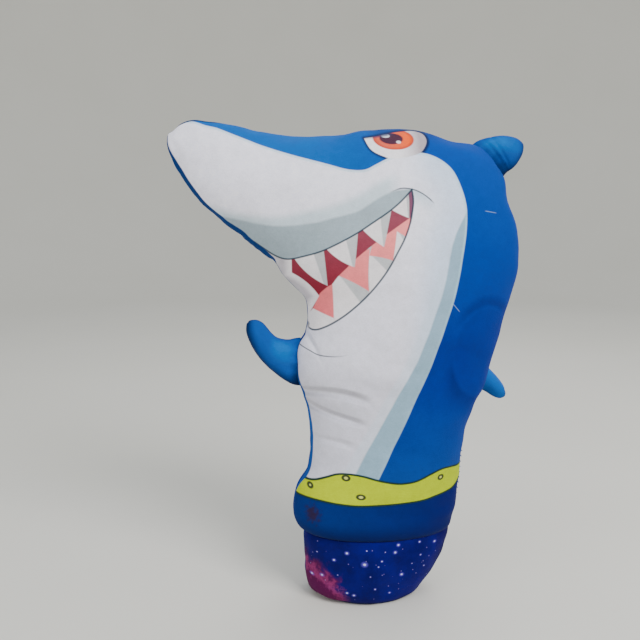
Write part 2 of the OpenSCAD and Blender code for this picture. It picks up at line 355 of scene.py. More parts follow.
# width of the grey band and of the plain margins at the seams: at the heights first, the widths
# second; along the snout's upper seam the first list holds places from left to right instead
BAND_WIDTH = ([100, 143, 169, 195, 221, 248, 300, 318, 328, 337, 346],
              [17.5, 19.5, 18, 16, 13.5, 12.5, 11.5, 11, 9, 5, 0])
LEFT_MARGIN = ([60, 97, 112, 130, 150, 180, 215, 232, 297, 302, 307, 316, 370, 385, 397, 408],
               [3, 3.5, 8.5, 8, 8, 8, 6, 4, 4, 5, 11.5, 12.5, 11, 8, 5, 2.5])
RIGHT_MARGIN = ([60, 95, 104, 112], [4.5, 4, 3, -3])
SNOUT_MARGIN = ([-172, -160, -130, -110], [3, 5, 4.5, -3])
BAND_TOP, SNOUT_FROM = 386, 200


def print_fields(points, gaps):
    """Distances in mm, kept on the front panel's points, that its print is painted from."""
    x, z = points[..., 0], points[..., 2]
    made = {name: area_distance(x, z, outline) for name, outline in AREAS.items()}
    made.update({name: line_distance(x, z, line) for name, line in LINES.items()})
    banded = (z < BAND_TOP) & ((x > 0) | (z < SNOUT_FROM))
    made["band"] = np.where(banded, made["white"] + np.interp(z, *BAND_WIDTH),
                            np.minimum(made["white"], -1))
    made["left_margin"] = gaps[1] - np.interp(points[:, -1:, 2], *LEFT_MARGIN)
    made["right_margin"] = gaps[0] - np.maximum(np.interp(points[:, :1, 2], *RIGHT_MARGIN),
                                                np.interp(points[:, :1, 0], *SNOUT_MARGIN))
    return made


# ==== Materials ====
def linear(r, g, b):
    """A colour given as it looks, 0 to 255, as the linear colour that a shader takes."""
    v = np.array([r, g, b]) / 255
    return (*np.where(v <= 0.04045, v / 12.92, ((v + 0.055) / 1.055) ** 2.4), 1)


def tune(thing, **settings):
    for key in settings:
        setattr(thing, key, settings[key])
    return thing


class Maker:
    """Writes a material's nodes. Sockets go in and out, and so do plain numbers."""

    def __init__(self, name):
        self.material = bpy.data.materials.new(name)
        self.material.use_nodes = True
        self.tree = self.material.node_tree
        self.shader = self.tree.nodes["Principled BSDF"]

    def fill(self, node, values):
        """Puts values in a node's sockets, by their order or their names."""
        for key, value in values.items() if isinstance(values, dict) else enumerate(values):
            if isinstance(value, bpy.types.NodeSocket):
                self.tree.links.new(value, node.inputs[key])
            else:
                node.inputs[key].default_value = value
        return node

    def node(self, kind, values=(), **settings):
        made = tune(self.tree.nodes.new("ShaderNode" + kind), **settings)
        return self.fill(made, values)

    def finish(self, values):
        self.fill(self.shader, values)
        return self.material

    def math(self, operation, *values):
        return self.node("Math", values, operation=operation).outputs[0]

    def vector(self, operation, *values, out=0):
        return self.node("VectorMath", values, operation=operation).outputs[out]

    def scaled(self, value, scale):
        return self.node("VectorMath", {0: value, "Scale": scale}, operation="SCALE").outputs[0]

    def field(self, name):
        return self.node("Attribute", attribute_name=name).outputs["Fac"]

    def place(self):
        """Where a point of the cloth lies at rest, in mm."""
        return self.node("Attribute", attribute_name="rest").outputs["Vector"]

    def ramp(self, value, low, high, to_low=0.0, to_high=1.0, smooth=False):
        return self.node("MapRange", (value, low, high, to_low, to_high), clamp=True,
                         interpolation_type="SMOOTHSTEP" if smooth else "LINEAR").outputs[0]

    def fade(self, value, low, high, top=1.0, smooth=False):
        """top at low, going down to 0 at high."""
        return self.ramp(value, low, high, top, 0.0, smooth)

    def mix(self, share, a, b):
        """From a to b, each a socket or a colour."""
        a, b = (linear(*end) if isinstance(end, tuple) else end for end in (a, b))
        return self.node("Mix", {"Factor": share, 6: a, 7: b}, data_type="RGBA").outputs[2]

    def coats(self, paint, *coats):
        """Paint under coats of (mask, colour), the last one on top."""
        for mask, colour in coats:
            paint = self.mix(mask, paint, colour)
        return paint

    def noise(self, where, scale, detail=2.0, roughness=0.5):
        return self.node("TexNoise", {"Vector": where, "Scale": scale, "Detail": detail,
                                      "Roughness": roughness}).outputs["Fac"]

    def bump(self, height, strength, distance):
        return self.node("Bump", {"Strength": strength, "Distance": distance, "Height": height})

    def chain(self, operation, values):
        """The values put together by an operation, one after another."""
        total = values[0]
        for value in values[1:]:
            total = self.math(operation, total, value)
        return total

    def times(self, *values):
        return self.chain("MULTIPLY", values)

    def plus(self, *values):
        return self.chain("ADD", values)

    def most(self, *distances):
        """Distance to where all the areas overlap."""
        return self.chain("MAXIMUM", distances)

    def inside(self, distance, soft=0.3):
        """1 where a distance is below zero, 0 above it."""
        return self.fade(distance, -soft, soft)

    def outside(self, distance, soft=0.3):
        """1 where a distance is above zero, 0 below it."""
        return self.inside(self.times(distance, -1.0), soft)

    def stroke(self, distance, half_width, soft=0.3):
        """1 along the line where a distance is zero."""
        return self.fade(self.math("ABSOLUTE", distance), half_width - soft, half_width + soft)

    def edge(self, p, q, bulge=0.0):
        """Distance to the edge from p to q, below zero on its left. It can bulge to the right."""
        length = math.hypot(q[0] - p[0], q[1] - p[1])
        nx, nz = (q[1] - p[1]) / length, -(q[0] - p[0]) / length
        if not bulge:
            return self.vector("DOT_PRODUCT", self.flat,
                               (nx, -(p[0] * nx + p[1] * nz), nz), out=1)
        b = abs(bulge)
        radius = (length * length / 4 + b * b) / (2 * b)
        to_middle = math.copysign(radius - b, bulge)
        cx = (p[0] + q[0]) / 2 - nx * to_middle
        cz = (p[1] + q[1]) / 2 - nz * to_middle
        reach = self.vector("DISTANCE", self.flat, (cx, 1, cz), out=1)
        if bulge > 0:
            return self.math("SUBTRACT", reach, radius)
        return self.math("SUBTRACT", radius, reach)

    def area(self, *points):
        """Distance to an area with straight or bulging edges, drawn anticlockwise. Each point
        is (x, z), or (x, z, bulge of the edge that leaves it)."""
        edges = []
        for p, q in zip(points, points[1:] + points[:1]):
            edges.append(self.edge(p[:2], q[:2], *p[2:3]))
        return self.most(*edges)

    def oval(self, x, z, half_x, half_z):
        """0 at the edge of an oval, below zero inside, in mm near its edge."""
        gap = self.vector("SUBTRACT", self.flat, (x, 1, z))
        gap = self.vector("MULTIPLY", gap, (1 / half_x, 0, 1 / half_z))
        size = self.vector("LENGTH", gap, out=1)
        return self.times(self.math("SUBTRACT", size, 1.0), (half_x + half_z) / 2)


def start_print(name):
    """A material for the cloth, with a point's place at rest as x, z and flat = (x, 1, z)."""
    m = Maker(name)
    m.x, _, m.z = m.node("SeparateXYZ", [m.place()]).outputs
    m.flat = m.node("CombineXYZ", [m.x, 1.0, m.z]).outputs[0]
    return m


ROUGH = 0.9


def plush(m, colour, pile=1.0, creases=None):
    """Finishes a material as short, dense pile: fine fibre grain, tufts, softly brushed patches
    and a knitted rib under them, in colour and in height. Creases are a height in mm."""
    where = m.place()
    grain = m.noise(where, 2.2, 3.0, 0.7)
    tuft = m.noise(where, 0.7, 2.0, 0.6)
    brushed = m.noise(where, 0.16, 3.0, 0.55)
    rib = m.noise(m.vector("MULTIPLY", where, (0.5, 0.5, 2.6)), 0.9, 2.0, 0.5)
    tone = m.plus(m.ramp(grain, 0.25, 0.75, 0.92, 1.06), m.ramp(brushed, 0.3, 0.7, -0.05, 0.05),
                  m.ramp(rib, 0.3, 0.7, -0.04, 0.04), m.ramp(tuft, 0.3, 0.7, -0.03, 0.03))
    height = m.plus(m.times(grain, 0.55), m.times(rib, 0.35), m.times(brushed, 0.8),
                    m.times(tuft, 0.5))
    bump = m.bump(height, 0.45 * pile, 0.0006)
    if creases is not None:
        m.fill(bump, {"Normal": m.bump(creases, 1.0, MM).outputs[0]})
    return m.finish({
        "Base Color": m.scaled(colour, tone), "Normal": bump.outputs[0],
        "Roughness": m.ramp(brushed, 0.3, 0.7, ROUGH - 0.06, ROUGH + 0.06),
        "Sheen Weight": 0.03, "Sheen Roughness": 0.5, "Specular IOR Level": 0.06})


INK = (30, 50, 66)
NAVY = (24, 40, 80)


def blue_ground(m):
    """The blue of the back and head, with the shades low on its flank, painted shade over the eye
    and the eye's outline.
    """
    # a darker lobe, with painted shade in the crease over it and along its lower edge
    lobe = m.oval(91, 226, 29, 39)
    flank = m.ramp(m.x, 52, 62)
    over = m.times(m.ramp(lobe, 0, 3), m.fade(lobe, 4, 12, smooth=True), m.ramp(m.z, 250, 264))
    under = m.times(m.ramp(lobe, 0, 4), m.fade(lobe, 5, 26, smooth=True),
                    m.ramp(m.z, 236, 208), m.ramp(m.z, 160, 190))
    # painted shade over the eye, up to the top seam
    lid = m.times(m.ramp(m.z, 404.5, 409), m.ramp(m.x, -12, 0), m.ramp(m.x, 56, 46))
    rim = m.math("SUBTRACT", m.field("eye"), m.ramp(m.x, 24, 37, 1.6, 2.5))
    return m.coats(
        m.mix(m.ramp(m.z, 230, 390), (2, 38, 130), (2, 66, 152)),
        (m.ramp(m.z, 200, 120, 0, 0.9), (4, 60, 136)),
        (m.times(m.ramp(m.x, 40, -60), m.ramp(m.z, 330, 370)), (6, 94, 172)),
        (m.ramp(m.noise(m.place(), 0.02), 0.35, 0.65, 0, 0.2), (3, 66, 154)),
        (m.times(m.inside(lobe, 2.0), flank, 0.35), (3, 34, 120)),
        (m.times(over, flank, 0.5), (2, 24, 98)),
        (m.times(under, flank, 0.6), (2, 24, 98)),
        # painted shade over the eye
        (m.times(lid, 0.35), NAVY),
        (m.inside(rim, 1.0), NAVY))


def white_front(m):
    """The white of the belly, cheek and snout, with the grey band, the snout's shades and painted
    shade in the belly's wrinkles.
    """
    band, cheek = m.field("band"), m.field("cheek")
    # painted shade of the wrinkles across the middle of the belly
    belly_wrinkle_shade = m.times(m.ramp(m.z, 150, 182, smooth=True), m.ramp(m.z, 222, 196, smooth=True), 0.5)
    cool = m.times(m.ramp(band, -52, -2, 0, 0.8, True), m.ramp(m.x, 10, 45, smooth=True))
    beside_band = m.times(m.ramp(band, -10, -7), m.ramp(m.z, 330, 300, 0, 0.35))
    above_lip = m.outside(m.field("lip"))
    pale = m.times(m.fade(m.field("pale"), -4, 5, smooth=True), m.fade(m.x, 2, 14), above_lip)
    shade = m.times(m.inside(m.field("shade"), 1.0), above_lip, m.fade(m.x, 20, 23))
    # the pocket under the cheek line
    pocket = m.times(m.ramp(cheek, -14, 0.5, smooth=True), m.inside(cheek, 0.4),
                     m.ramp(m.x, 20, 24), m.fade(m.x, 30, 44), 0.8)
    border = m.times(m.stroke(m.plus(m.field("white"), 0.9), 0.9, 0.6),
                     m.ramp(m.z, 210, 320, 0.1, 0.6))
    return m.coats(
        m.mix(m.ramp(m.z, 130, 330), (214, 213, 228), (243, 241, 255)),
        (belly_wrinkle_shade, (198, 196, 208)), (cool, (194, 214, 240)), (beside_band, (196, 214, 230)),
        (m.outside(band, 0.8), (140, 170, 190)), (pale, (200, 215, 226)),
        (shade, (158, 174, 184)), (pocket, (190, 208, 222)), (border, (170, 208, 228)))


def eyeball(m):
    """The white, the iris, the pupil with its two glints, and the shade of the lid."""
    iris = m.oval(10, 404.3, 17, 9.2)
    orange = m.coats(m.mix(m.ramp(m.x, 2, 24), (220, 96, 74), (244, 94, 34)),
                     (m.ramp(iris, -3.0, -0.2), (190, 66, 50)))
    lid_shade = m.times(m.ramp(m.field("eye"), -3.2, -0.8, smooth=True),
                        m.inside(m.edge((-14, 404.5), (12, 407)), 1.0), m.fade(m.x, 5, 12), 0.85)
    return m.coats(
        m.mix(m.ramp(m.x, 14, 32), (244, 240, 246), (168, 156, 164)),
        (m.inside(iris, 0.5), orange),
        (m.inside(m.oval(8, 404.5, 9.6, 4.8), 0.5), (74, 44, 62)),
        (m.inside(m.oval(3.6, 407, 3.4, 1.7), 0.4), (226, 228, 240)),
        (m.inside(m.oval(13.5, 401.6, 2.0, 1.2), 0.4), (226, 220, 226)),
        (lid_shade, (44, 52, 92)))


def open_mouth(m):
    """The dark of the mouth, with the lower teeth, the gums over them and the upper teeth."""
    tooth, tooth_shade = (240, 234, 238), (190, 192, 196)
    pink = m.mix(m.ramp(m.z, 262, 335), (240, 116, 122), (255, 142, 142))
    shades = [m.most(m.edge(*side), m.edge(*foot)) for side, foot in (
        (((-35, 293), (-19, 272)), ((-11, 262), (-12.6, 300))),
        (((-9.5, 309.5), (3, 297)), ((5.5, 296), (8.5, 325))),
        (((11, 329), (15, 322)), ((40, 300), (40, 330))))]
    gums = (
        m.area((-56, 290), (-57, 264.5), (-39.5, 257.5, 0.5), (-41.8, 290)),
        m.area((-34, 310), (-38.5, 294.5, -0.8), (-12, 281, -0.8), (-12.3, 316)),
        m.area((-8, 330), (-12.6, 310.5, -0.6), (6.5, 306.5), (10, 337)),
        m.area((12, 342), (8.5, 330.5), (17, 325.5), (26, 342)))
    lower = m.coats(tooth, *[(m.inside(shade, 0.6), tooth_shade) for shade in shades],
                    *[(m.inside(gum, 0.35), pink) for gum in gums])
    # the pale strip down the left side
    strip = m.math("MINIMUM", m.edge((-73.5, 290), (-74.5, 320)),
                   m.most(m.edge((-50.5, 274.5), (-74, 295), 2.2),
                          m.edge((-57, 262), (-50.5, 277))))
    strip_paint = m.coats(
        m.mix(m.ramp(strip, -7, -1.5, smooth=True), (196, 190, 198), tooth),
        (m.fade(strip, -12, -8, smooth=True), (206, 202, 208)))
    upper = [(m.inside(m.area(*outline), 0.35),
              m.mix(m.inside(m.edge(*shade), 0.5), tooth, tooth_shade)) for outline, shade in (
        (((-73, 309, 3.0), (-45, 285), (-49, 316)), ((-57, 312), (-47.5, 285))),
        (((-48.5, 318, 2.2), (-24, 301), (-21.5, 332)), ((-31, 322), (-25.5, 301))),
        (((-19.5, 333, 0.8), (-1, 317.5), (5.5, 350)), ((-4, 342), (-1.5, 317))),
        (((4.5, 347.5, 0.3), (19.5, 340.5), (19.5, 366)), ((17, 358), (18.5, 341))))]
    plum = m.times(m.outside(m.edge((19.8, 338), (18, 364), 1.0)), m.ramp(m.z, 336, 342))
    return m.coats(
        m.mix(m.ramp(m.z, 270, 340), (134, 30, 48), (140, 68, 84)),
        (m.inside(m.field("gum"), 0.35), lower), (m.inside(strip, 0.35), strip_paint),
        *upper, (plum, (118, 74, 98)))


def outlines(m):
    """The masks of the lines round the mouth and on the cheek and chin."""
    lip = m.field("lip")
    return (
        m.times(m.stroke(lip, 0.7), m.fade(m.x, 21.2, 22.2)),
        m.times(m.stroke(m.field("mouth"), 0.75), m.inside(m.math("SUBTRACT", lip, 0.4), 0.4),
                m.ramp(m.x, -61, -58)),
        m.times(m.stroke(m.field("cheek"), 0.5), m.ramp(m.x, 4, 12), m.fade(m.x, 38, 41)),
        m.times(m.stroke(m.field("chin"), 0.45), m.fade(m.x, -46, -27)),
    )


def with_belt(m, paint):
    """The yellow belt with its rings and edges, and the blue band under it with painted shade at
    the waist seam and its smudge.
    """
    top, bottom = m.field("belt_top"), m.field("belt_bottom")
    low = m.coats(m.mix(m.ramp(m.x, -60, 60), (6, 42, 112), (4, 18, 92)),
                  # painted shade, darker towards the waist seam where the band folds in over the
                  # boot
                  (m.fade(m.z, 62, 80, 0.7, True), (4, 18, 78)))
    yellow = m.mix(m.ramp(m.x, -50, 70), (186, 202, 0), (172, 190, 0))
    paint = m.coats(paint, (m.inside(bottom), low),
                    (m.inside(m.most(top, m.times(bottom, -1.0))), yellow))
    for ring in ((-58.5, 107.5, 1.7, 1.7), (-29, 118.5, 2.7, 2.0), (-17, 103.5, 3.0, 1.8),
                 (54.5, 116, 2.2, 2.0)):
        ring = m.oval(*ring)
        paint = m.coats(paint, (m.inside(ring, 0.35), (206, 210, 110)),
                        (m.stroke(ring, 0.95, 0.4), (56, 66, 40)))
    ragged = m.ramp(m.noise(m.place(), 0.3), 0.3, 0.7, -3, 3)
    smudge = m.fade(m.plus(m.oval(-57, 84, 5.5, 7), ragged), -5, 4, smooth=True)
    return m.coats(paint, (m.stroke(top, 0.9, 0.4), (26, 52, 44)),
                   (m.stroke(bottom, 0.9, 0.4), (26, 52, 44)),
                   (m.times(smudge, 0.8), (46, 26, 36)))


def with_margins(m, paint):
    """The plain margins of the print beside the seams, and loose white threads in the pile."""
    left = m.coats(m.mix(m.ramp(m.z, 70, 150), (8, 60, 146), (8, 80, 158)),
                   (m.ramp(m.z, 180, 225), (10, 52, 112)))
    right = m.mix(m.ramp(m.z, 150, 300), (4, 26, 104), (12, 50, 100))
    paint = m.coats(paint, (m.inside(m.field("left_margin"), 0.5), left),
                    (m.inside(m.field("right_margin"), 0.5), right))
    for p, q in (((86, 346), (99, 344)), ((58, 270), (69, 258)), ((99, 393), (110, 381))):
        along = m.vector("DOT_PRODUCT", m.vector("SUBTRACT", m.flat, (p[0], 1, p[1])),
                         ((q[0] - p[0]) / 200, 0, (q[1] - p[1]) / 200), out=1)
        ends = m.times(m.ramp(along, -0.05, 0.05), m.fade(along, 0.65, 0.8))
        thread = m.times(m.stroke(m.edge(p, q), 0.25, 0.25), ends, 0.5)
        paint = m.mix(thread, paint, (170, 196, 222))
    return paint


def belly_creases(m):
    """The height in mm of the creases pulled across the belly: each has its two ends, bulge,
    width and depth, and the x where it starts and stops."""
    creases = 0.0
    for p, q, bulge, width, deep, first, last in (
            ((-68, 190), (-8, 186), -5.0, 6.0, 3.4, -70, -8),
            ((-62, 181), (-12, 167), 1.5, 5.0, 3.0, -66, -12),
            ((-66, 150), (-20, 146), -2.0, 5.0, 1.2, -58, -18),
            ((-61, 242), (-52, 226), 0.0, 3.5, 1.8, -66, -48)):
        valley = m.fade(m.math("ABSOLUTE", m.edge(p, q, bulge)), 0.0, width, deep, True)
        ends = m.times(m.ramp(m.x, first - 3, first + 8, smooth=True),
                       m.ramp(m.x, last + 3, last - 14, smooth=True))
        level = m.math("ABSOLUTE", m.math("SUBTRACT", m.z, (p[1] + q[1]) / 2))
        creases = m.math("SUBTRACT", creases, m.times(valley, ends, m.fade(level, 18, 24)))
    return creases


def front_print():
    m = start_print("front_print")
    paint = m.mix(m.inside(m.field("white"), 0.35), blue_ground(m), white_front(m))
    paint = m.mix(m.inside(m.field("eye"), 0.4), paint, eyeball(m))
    paint = m.mix(m.inside(m.most(m.field("mouth"), m.field("lip"))), paint, open_mouth(m))
    for line in outlines(m):
        paint = m.mix(m.times(line, 0.9), paint, INK)
    paint = with_margins(m, with_belt(m, paint))
    return plush(m, paint, pile=0.8, creases=belly_creases(m))


# across, up, size and brightness of the printed stars
STARS = (
    (-13, 41, 2.3, 1), (-28, 50, 1.6, 1), (-39, 43, 1.4, 0.9), (-11, 53, 0.8, 0.8),
    (14, 51, 1.6, 0.9), (17, 57, 1.5, 0.9), (37, 57, 1.2, 0.8), (2, 44, 1.0, 0.9),
    (-1, 39, 0.9, 0.7), (20.5, 29, 1.7, 1), (38, 45, 1.0, 0.6), (52, 54, 1.5, 0.8),
    (-57, 24, 1.5, 0.9), (-49, 27, 1.5, 0.9), (-28, 14, 1.4, 0.9), (-22, 12, 1.5, 0.9),
    (-3.5, 17.5, 1.1, 0.7), (10, 12, 1.2, 0.6), (-53, 47, 0.8, 0.6), (5, 52, 0.7, 0.5),
    (30, 38, 0.7, 0.5), (-36, 30, 0.7, 0.5), (42, 33, 0.9, 0.6), (-8, 30, 0.8, 0.5),
)


def galaxy_print():
    """A night blue with a pink nebula at the lower left, stars in halos and fine specks."""
    m = start_print("galaxy_print")
    cloud = m.noise(m.place(), 0.035, 4.0, 0.6)
    wisp = m.plus(m.edge((-22, 6), (-62, 42), 4.0),
                  m.ramp(m.noise(m.place(), 0.1, 3.0), 0.3, 0.7, -7, 7))
    nebula = m.times(m.ramp(wisp, 4, -9, smooth=True), m.ramp(m.x, -22, -34), 0.9)
    core = m.plus(m.edge((-30, 6), (-60, 30), 3.0),
                  m.ramp(m.noise(m.place(), 0.2, 3.0, 0.6), 0.3, 0.7, -5, 5))
    core = m.times(m.stroke(core, 2.5, 4.0), m.ramp(m.x, -24, -36), 0.6)
    paint = m.coats(
        m.mix(m.ramp(m.x, -50, 60), (14, 8, 80), (10, 2, 86)),
        (m.ramp(m.x, 36, 66, 0, 0.7), (10, 4, 58)),
        (m.ramp(cloud, 0.4, 0.65, 0, 0.5), (24, 12, 122)),
        (nebula, (92, 16, 68)), (core, (176, 66, 124)))
    for x, z, size, bright in STARS:
        star = m.oval(x, z, size * 0.55, size * 0.45)
        halo = m.fade(star, -0.2, size * 1.1, 0.5, True)
        heart = m.fade(star, -0.3 * size, 0.3, smooth=True)
        paint = m.coats(paint, (m.times(halo, bright), (110, 100, 226)),
                        (m.times(heart, bright), (216, 208, 250)))
    speck = m.node("TexVoronoi", {"Vector": m.place(), "Scale": 0.16, "Randomness": 1.0})
    paint = m.mix(m.fade(speck.outputs["Distance"], 0.02, 0.1, 0.75), paint, (170, 160, 230))
    return plush(m, paint, pile=0.8)


def plain_plush(name, low, high, top_z, low_z=0, pile=1.0):
    m = start_print(name)
    worn = m.ramp(m.noise(m.place(), 0.05, 3.0, 0.6), 0.4, 0.7, 0, 0.18)
    paint = m.coats(m.mix(m.ramp(m.z, low_z, top_z), low, high),
                    (worn, m.mix(0.25, high, (50, 110, 180))))
    return plush(m, paint, pile=pile)


def fin_plush():
    """Blue pile, with painted shade along a fin's lower edge, at its seams and where its root is
    pinched, and painted highlights: lighter over its middle and a little lighter at the right
    fin's tip."""
    m = start_print("fin_fabric")
    low, high, root = m.field("low"), m.field("high"), m.field("root")
    # painted highlight over the middle of the fin, where the light from above falls
    fin_middle_highlight = m.times(m.ramp(root, 4, 14), m.ramp(root, 34, 22), m.ramp(high, 3, 8),
                     m.ramp(high, 26, 12), 0.7)
    # painted shade where the root is pinched
    pinched = m.times(m.fade(root, 5, 12, 0.5, True), m.ramp(low, 26, 12))
    # painted highlight on the right fin's tip
    right_tip_highlight = m.times(m.ramp(m.x, 90, 108, 0, 0.4, True), m.ramp(m.z, 260, 240))
    # colour of the painted shade along the lower edge, at the top seam and at the pinched root
    dark = (8, 18, 50)
    return plush(m, m.coats(
        m.mix(m.ramp(m.z, 170, 400), (2, 76, 158), (3, 74, 154)), (fin_middle_highlight, (6, 108, 184)),
        (m.fade(low, 0, 14, 0.85, True), dark), (m.fade(high, 0, 2.5, 0.45, True), dark),
        (pinched, dark), (right_tip_highlight, (10, 108, 196))))


def inner(name, colour, scale, distance, rough=0.9):
    """A material for what is inside the cloth, by the object's own coordinates."""
    m = Maker(name)
    where = m.node("TexCoord").outputs["Object"]
    grain = m.noise(m.scaled(where, 1 / MM), scale, 4.0, 0.6)
    return m.finish({
        "Base Color": m.mix(m.ramp(grain, 0.3, 0.7, 0, 0.35), colour, (150, 150, 152)),
        "Normal": m.bump(grain, 0.6, distance).outputs[0], "Roughness": rough})


def dress(made, material):
    made.data.materials.clear()
    made.data.materials.append(material)


def sewn(made, node, material):
    """Says that a cloth replaces a CAD node, and what it is made of."""
    dress(made, material)
    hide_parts(node)


# ==== Body and boot ====
# creases modelled in the body's cloth: depth (below zero for a ridge), width, length of the
# fading ends, and the line
FRONT_FOLDS = (
    (1.2, 3.0, 14, [(-66, 189), (-43, 193), (-27, 190), (-8, 185.5)]),
    (1.1, 3.0, 14, [(-62, 181), (-48, 176), (-32, 172.5), (-13, 167.5)]),
    (0.6, 3.5, 14, [(-58, 149), (-40, 151), (-20, 147)]),
    (0.7, 2.5, 6, [(-61, 241), (-56, 233), (-52, 226)]),
    (-0.8, 5.0, 14, [(-64, 184), (-45, 184), (-25, 181)]),
    (0.8, 4.0, 14, [(63, 238), (70, 215), (82, 195)]),
    (0.6, 4.0, 14, [(70, 268), (86, 271), (104, 264)]),
    (0.8, 2.0, 8, [(92, 398), (101, 391), (105, 379), (104, 368)]),
)
BACK_FOLDS = (
    (0.9, 3.5, 14, [(-60, 186), (-30, 182), (0, 184)]),
    (0.8, 3.5, 14, [(20, 120), (45, 128), (75, 126)]),
    (0.9, 4.0, 14, [(60, 250), (90, 246), (115, 236)]),
)


def off_seams(gaps, reach):
    """0 at a panel's seams, growing to 1 over reach mm."""
    return np.clip(np.minimum(*gaps) / reach, 0, 1)


def bell(gap, width):
    return np.exp(-(gap / width) ** 2)


def body_height(side):
    def height(p, run, gaps):
        x, z = p[..., 0], p[..., 2]
        h = 1.3 * lumps(p, 34, 3) + 0.55 * lumps(p, 13, 5)
        h = h * off_seams(gaps, 25) * np.clip(run / 25, 0, 1)[:, None]
        h = h + seam_line(run, gaps, 20)
        # drawn in at the waist seam, full just above it
        h = h - 2.6 * np.exp(-(z - WAIST_Z) / 3.0) + 1.2 * bell(z - WAIST_Z - 14, 9)
        for deep, width, end, line in FRONT_FOLDS if side < 0 else BACK_FOLDS:
            h = h - deep * fold(x, z, line, width, end)
        if side < 0:
            # where the left fin pulls at the front
            h = h - 1.3 * bell(np.hypot(x + 57, z - 216), 9)
        return h
    return height


def boot_height(p, run, gaps):
    z = p[..., 2]
    h = 0.9 * lumps(p, 24, 7) + 0.4 * lumps(p, 10, 9)
    h = h * off_seams(gaps, 15)
    h = h * np.clip((z - 3) / 14, 0, 1) * np.clip((WAIST_Z - z) / 8, 0, 1)
    h = h + seam_line(run, gaps, 40, groove=0.7)
    h = h - 1.5 * np.exp(-(WAIST_Z - z) / 2.2)
    # the stuffing rounds out the lower right
    return h + 1.8 * bell(gaps[0], 22) * bell(z - 29, 13)


def soften(field, passes):
    """A grid of heights after so many rounds of averaging with their neighbours."""
    for _ in range(passes):
        for axis in (0, 1):
            field = np.swapaxes(field, 0, axis)
            padded = np.concatenate([field[:1], field, field[-1:]])
            field = np.swapaxes((padded[:-2] + 2 * padded[1:-1] + padded[2:]) / 4, 0, axis)
    return field


SWELL_FRAMES = 20
# the relief is what SMOOTHING rounds of averaging take away, up to WRINKLE mm high
SMOOTHING, WRINKLE, WRINKLE_FULL = 24, 1.1, 2.2


def wrinkles(name, table, step, columns, slack, seed):
    """The relief of two sewn panels swollen by their stuffing, from a cloth simulation of the
    closed shape: the rows' parameters, then the front's and the back's heights in mm.
    The shape starts a little thin and is pressed out between its seams, where the spare cloth
    gathers. The ribs already hold its fullness, so only the finer relief is kept."""
    t = rows(table, step)
    full = [half_rings(table, t, side, columns)[0] for side in (-1, 1)]
    run = length_of(table, t)
    thin = 1 - slack * np.clip(np.minimum(run, run[-1] - run) / 30, 0, 1)
    start = []
    for k, grid in enumerate(full):
        uneven = 0.5 * lumps(grid, 11, seed + k)[..., None]
        start.append(grid * np.stack([1 + 0 * thin, thin, 1 + 0 * thin], -1)[:, None]
                     + uneven * normals(grid, 2 * k - 1))
    ring = np.concatenate([start[0], start[1][:, -2:0:-1]], axis=1)
    r, c = ring.shape[:2]
    at = np.arange(r * c).reshape(r, c)
    across = np.roll(at, -1, axis=1)
    quads = np.stack([at[:-1], at[1:], across[1:], across[:-1]], -1).reshape(-1, 4).tolist()
    mesh = bpy.data.meshes.new(name)
    mesh.from_pydata((ring.reshape(-1, 3) * MM).tolist(), [],
                     quads + [at[0].tolist(), at[-1][::-1].tolist()])
    made = add_object(name, mesh)
    held = made.vertex_groups.new(name="held")
    held.add(at[:, [0, columns]].ravel().tolist() + at[[0, -1]].ravel().tolist(), 1.0, "REPLACE")
    swelling = made.modifiers.new("swelling", "CLOTH")
    tune(swelling.settings, quality=6, mass=0.3, tension_stiffness=15, compression_stiffness=15,
         shear_stiffness=5, bending_stiffness=0.6, shrink_min=-0.03, use_pressure=True,
         uniform_pressure_force=4, vertex_group_mass="held")
    swelling.settings.effector_weights.gravity = 0
    swelling.point_cache.frame_start, swelling.point_cache.frame_end = 1, SWELL_FRAMES
    for number in range(1, SWELL_FRAMES + 1):
        SCENE.frame_set(number)
    seen = made.evaluated_get(bpy.context.evaluated_depsgraph_get())
    co = np.array([v.co for v in seen.data.vertices], float).reshape(r, c, 3) / MM
    SCENE.frame_set(1)
    bpy.data.objects.remove(made)
    front = co[:, :columns + 1]
    back = np.concatenate([co[:, :1], co[:, :columns - 1:-1]], axis=1)
    relief = []
    for k, grid in enumerate((front, back)):
        height = ((grid - full[k]) * normals(full[k], 2 * k - 1)).sum(-1)
        fine = soften(height, 1) - soften(height, SMOOTHING)
        relief.append(WRINKLE * np.tanh(fine / WRINKLE_FULL))
    return t, relief


def relief_at(swollen, side, t, columns):
    """The coarse relief of wrinkles(), read smoothly at a finer panel's rows and columns."""
    if not swollen:
        return 0
    coarse_t, relief = swollen
    down = catmull(relief[(side + 1) // 2], np.interp(t, coarse_t, np.arange(len(coarse_t))))
    return catmull(down.T, np.linspace(0, down.shape[1] - 1, columns + 1)).T


def cloth(node, form, side, height, body, material, fields=None, bend=None):
    """A panel that replaces a CAD node, of a form with its ribs, rows, columns and relief."""
    table, t, columns, swollen = form
    outside, inside, gaps = shape(table, t, side, columns, height, swollen=swollen)
    made = panel(f"{node}_cloth", outside, inside, side, fields and fields(outside, gaps))
    if bend:
        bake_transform(made)
    else:
        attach(made, body)
    sewn(made, node, material)


FRONT = front_print()
BACK = plain_plush("back_fabric", (3, 46, 132), (3, 70, 156), 420, WAIST_Z)
GALAXY = galaxy_print()
BOOT_BACK = plain_plush("boot_back_fabric", (12, 22, 108), (6, 42, 130), WAIST_Z)
SOLE = plain_plush("base_fabric", (8, 12, 76), (10, 20, 90), WAIST_Z, pile=1.2)
FIN = fin_plush()

